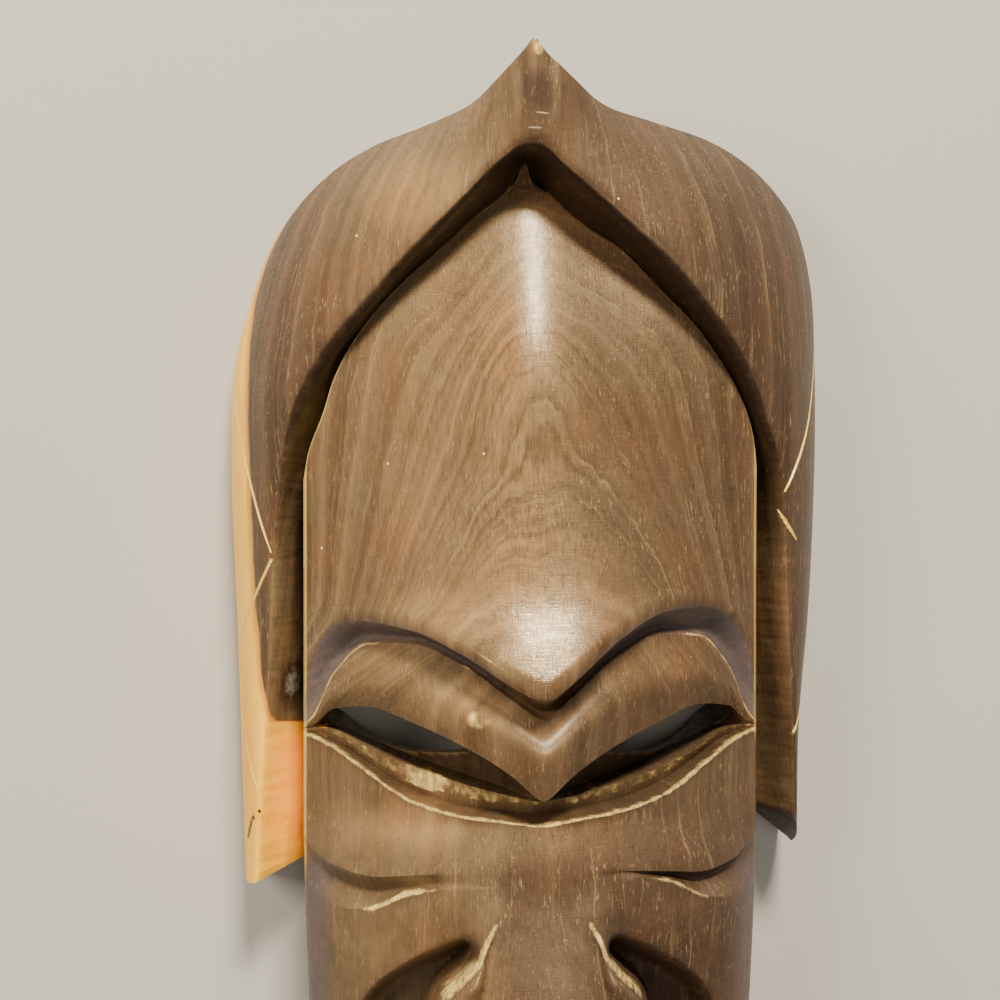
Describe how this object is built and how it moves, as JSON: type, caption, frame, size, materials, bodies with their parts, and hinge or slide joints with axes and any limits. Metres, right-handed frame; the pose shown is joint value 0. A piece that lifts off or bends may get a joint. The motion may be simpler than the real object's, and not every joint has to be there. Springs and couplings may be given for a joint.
{
  "type": "carved wooden mask",
  "caption": "Long carved hardwood mask with a peaked hood and side flaps, heavy V-shaped brow, pierced narrow eyes and a hollow back.",
  "frame": {"origin": "middle of the rectangle that the mask covers, on the plane of its back rim", "axes": "+X to the viewer's right across the mask, +Y towards the peak of the hood, +Z out of the face; the mask lies on its back"},
  "size_m": [0.1819, 0.3739, 0.0818],
  "materials": {
    "dark_hardwood": "satin varnish over dark brown heartwood, with a pale sapwood edge and worn light edges"
  },
  "bodies": {
    "root": {"mask": "dark_hardwood"}
  },
  "joints": []
}
